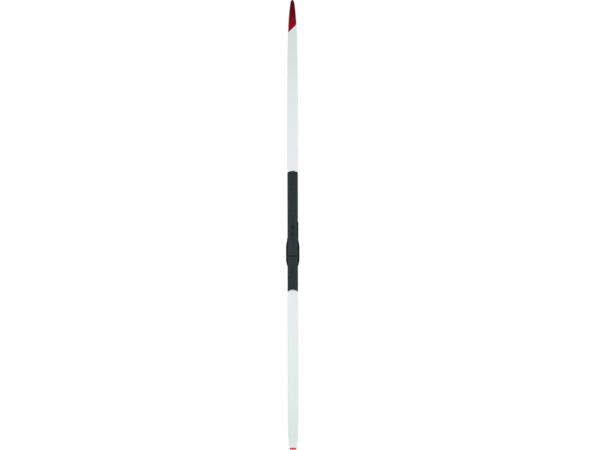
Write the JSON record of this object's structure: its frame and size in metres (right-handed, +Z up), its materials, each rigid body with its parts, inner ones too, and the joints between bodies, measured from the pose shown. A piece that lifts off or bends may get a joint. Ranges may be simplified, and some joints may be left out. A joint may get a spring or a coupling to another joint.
{
  "type": "cross country ski",
  "caption": "Cross country track ski lying on its base, with raised red tip, white topsheet, long dark rail plate and heel wings.",
  "frame": {"origin": "on the ground plane under the centre of the ski's outline, half way between tip and tail", "axes": "+Y along the ski towards the tip, +X to the skier's right, +Z up out of the topsheet"},
  "size_m": [0.0572, 1.9, 0.0566],
  "materials": {
    "white_lacquer": "smooth cool-white lacquered topsheet, satin to gloss, edges a little grey",
    "red_lacquer": "deep wine-red lacquer, darker towards the outline and the raised end",
    "red_plastic": "bright red moulded plastic, satin",
    "grey_plastic": "dark blue-grey fibre-filled plastic, fine moulded grain, rail tops rubbed lighter",
    "black_plastic": "near-black moulded plastic, fine grain",
    "black_rubber": "matt black elastomer",
    "graphite_base": "black sintered graphite polyethylene, stone-ground along its length, waxed sheen",
    "sidewall_plastic": "pale grey-white hard plastic, milled and scraped along its length",
    "carbon_laminate": "carbon fibre laminate in clear resin",
    "glass_laminate": "pale green-grey glass fibre laminate",
    "light_wood": "planed paulownia, grain along the ski",
    "core_foam": "fine-celled rigid foam, pale yellow"
  },
  "bodies": {
    "root": {"running_base": "graphite_base", "base_laminate": "glass_laminate", "core_centre": "core_foam", "core_stringer_left": "light_wood", "core_stringer_right": "light_wood", "binding_reinforcement": "carbon_laminate", "tip_spacer": "black_plastic", "tail_spacer": "black_plastic", "upper_laminate": "carbon_laminate", "sidewall_left": "sidewall_plastic", "sidewall_right": "sidewall_plastic", "topsheet": "white_lacquer", "tip_cover": "red_lacquer", "tail_protector": "red_plastic", "plate_pad_front": "black_rubber", "plate_pad_rear": "black_rubber", "heel_support": "black_plastic", "plate_front": "grey_plastic", "plate_rear": "grey_plastic", "position_rack": "grey_plastic", "heel_bumper": "black_rubber", "position_strip": "black_plastic"}
  },
  "joints": []
}
